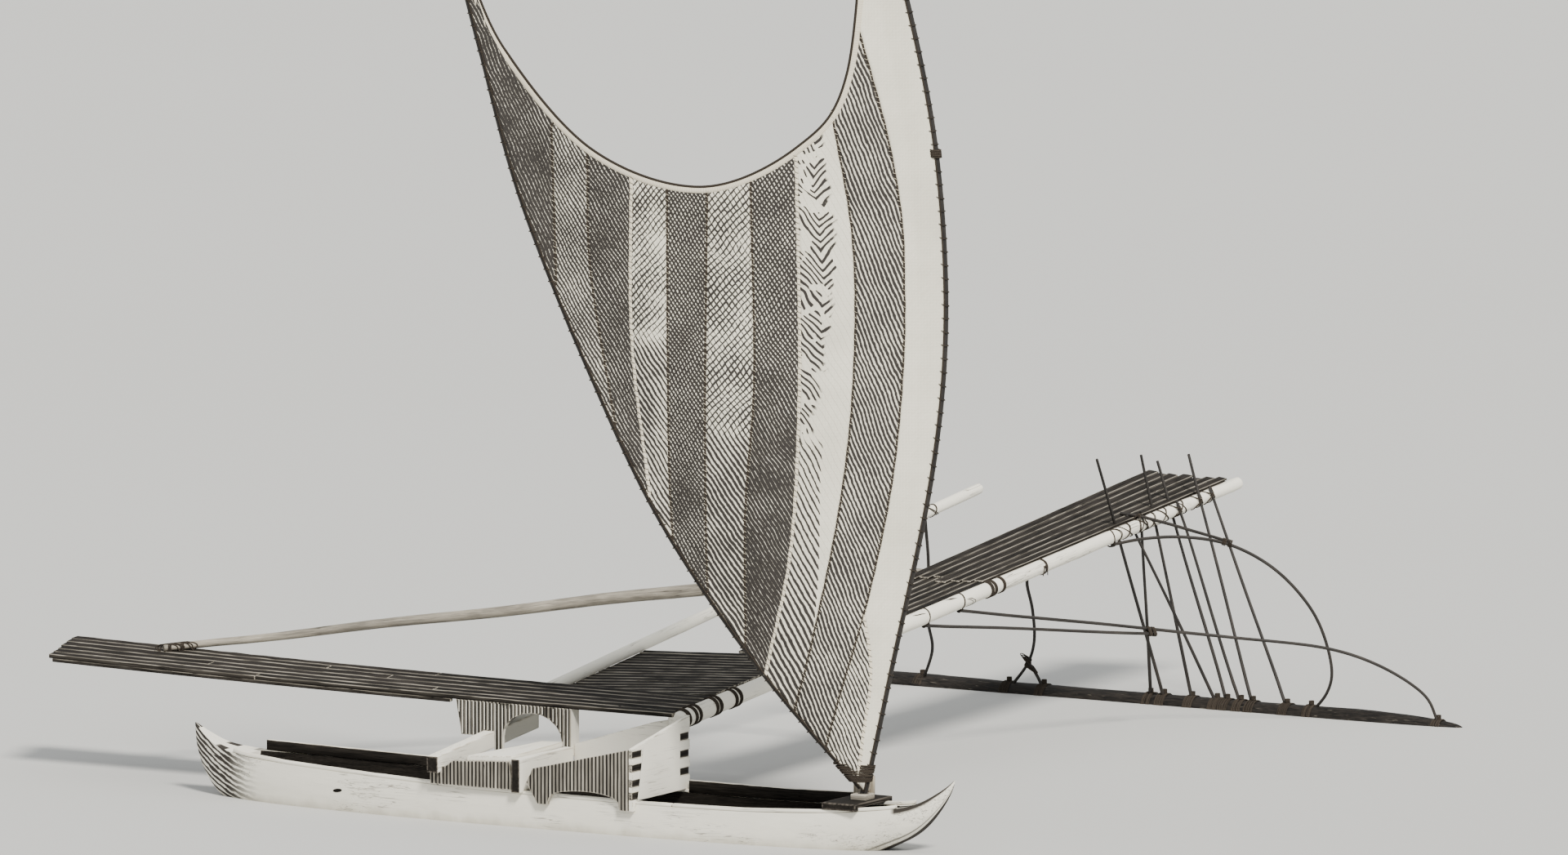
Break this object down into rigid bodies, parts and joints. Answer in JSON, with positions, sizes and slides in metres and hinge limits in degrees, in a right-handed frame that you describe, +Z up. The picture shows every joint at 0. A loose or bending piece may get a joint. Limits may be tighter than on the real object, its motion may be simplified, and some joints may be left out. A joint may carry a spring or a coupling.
{
  "type": "sailing outrigger canoe",
  "caption": "Sailing outrigger canoe: hollow hull, long booms, log float on sticks, plank platforms, mast and a claw-shaped mat sail.",
  "frame": {"origin": "amidships on the hull's centreline, on the waterline", "axes": "+X to the bow, +Y across to the float, +Z up"},
  "size_m": [10.9518, 13.5143, 10.1974],
  "materials": {
    "limed_wood": "lime-washed hewn wood, matt, with grain",
    "weathered_plank": "dark weathered planks, matt",
    "float_wood": "dark wet log, satin",
    "pole_wood": "peeled round pole, matt",
    "mat": "plaited leaf mat in sewn strips, light and dark",
    "dark_pole": "dark peeled pole, satin",
    "cord": "laid fibre cord, matt"
  },
  "bodies": {
    "canoe": {"hull": "limed_wood", "gunwale_near": "limed_wood", "gunwale_far": "limed_wood", "aft_strake": "limed_wood", "bow_thwart": "weathered_plank", "gunwale_far_fore": "limed_wood", "fore_strake": "limed_wood", "crib_lid": "limed_wood", "tack_block": "pole_wood", "mast_step": "pole_wood", "crib_board_fore": "weathered_plank", "crib_board_aft": "weathered_plank", "crib_board_far": "limed_wood", "crib_end_board": "limed_wood", "aft_cross_beam": "limed_wood", "middle_cross_bar": "limed_wood", "arch_board": "weathered_plank", "fore_boom": "limed_wood", "aft_boom": "limed_wood", "aft_platform": "weathered_plank", "diagonal_brace": "pole_wood", "centre_deck": "weathered_plank", "outer_platform": "weathered_plank", "batten_1": "pole_wood", "batten_2": "pole_wood", "batten_3": "pole_wood", "batten_4": "pole_wood", "float": "float_wood", "float_stick_1": "dark_pole", "float_stick_2": "dark_pole", "float_stick_3": "dark_pole", "float_stick_4": "dark_pole", "float_stick_5": "dark_pole", "float_stick_6": "dark_pole", "float_stick_7": "dark_pole", "float_stick_8": "dark_pole", "float_hoop": "dark_pole", "float_long_rod": "dark_pole", "aft_stanchion_inner": "dark_pole", "aft_stanchion_outer": "dark_pole", "float_long_rod_2": "dark_pole", "hoop_brace": "dark_pole", "stanchion_fork": "dark_pole"},
    "mast": {"mast": "pole_wood"},
    "sail_rig": {"sail": "mat", "fore_spar": "dark_pole", "aft_spar": "dark_pole"}
  },
  "joints": [
    {"name": "sail_swing", "type": "hinge", "parent": "canoe", "child": "sail_rig", "pos_m": [3.3936, 0.033, 0.522], "axis": [0.0978, 0.0464, 0.9941], "range_deg": [-20, 55]},
    {"name": "mast_tilt", "type": "hinge", "parent": "canoe", "child": "mast", "pos_m": [3.27, 0.262, 0.61], "axis": [0, -1, 0], "range_deg": [0, 70]}
  ]
}
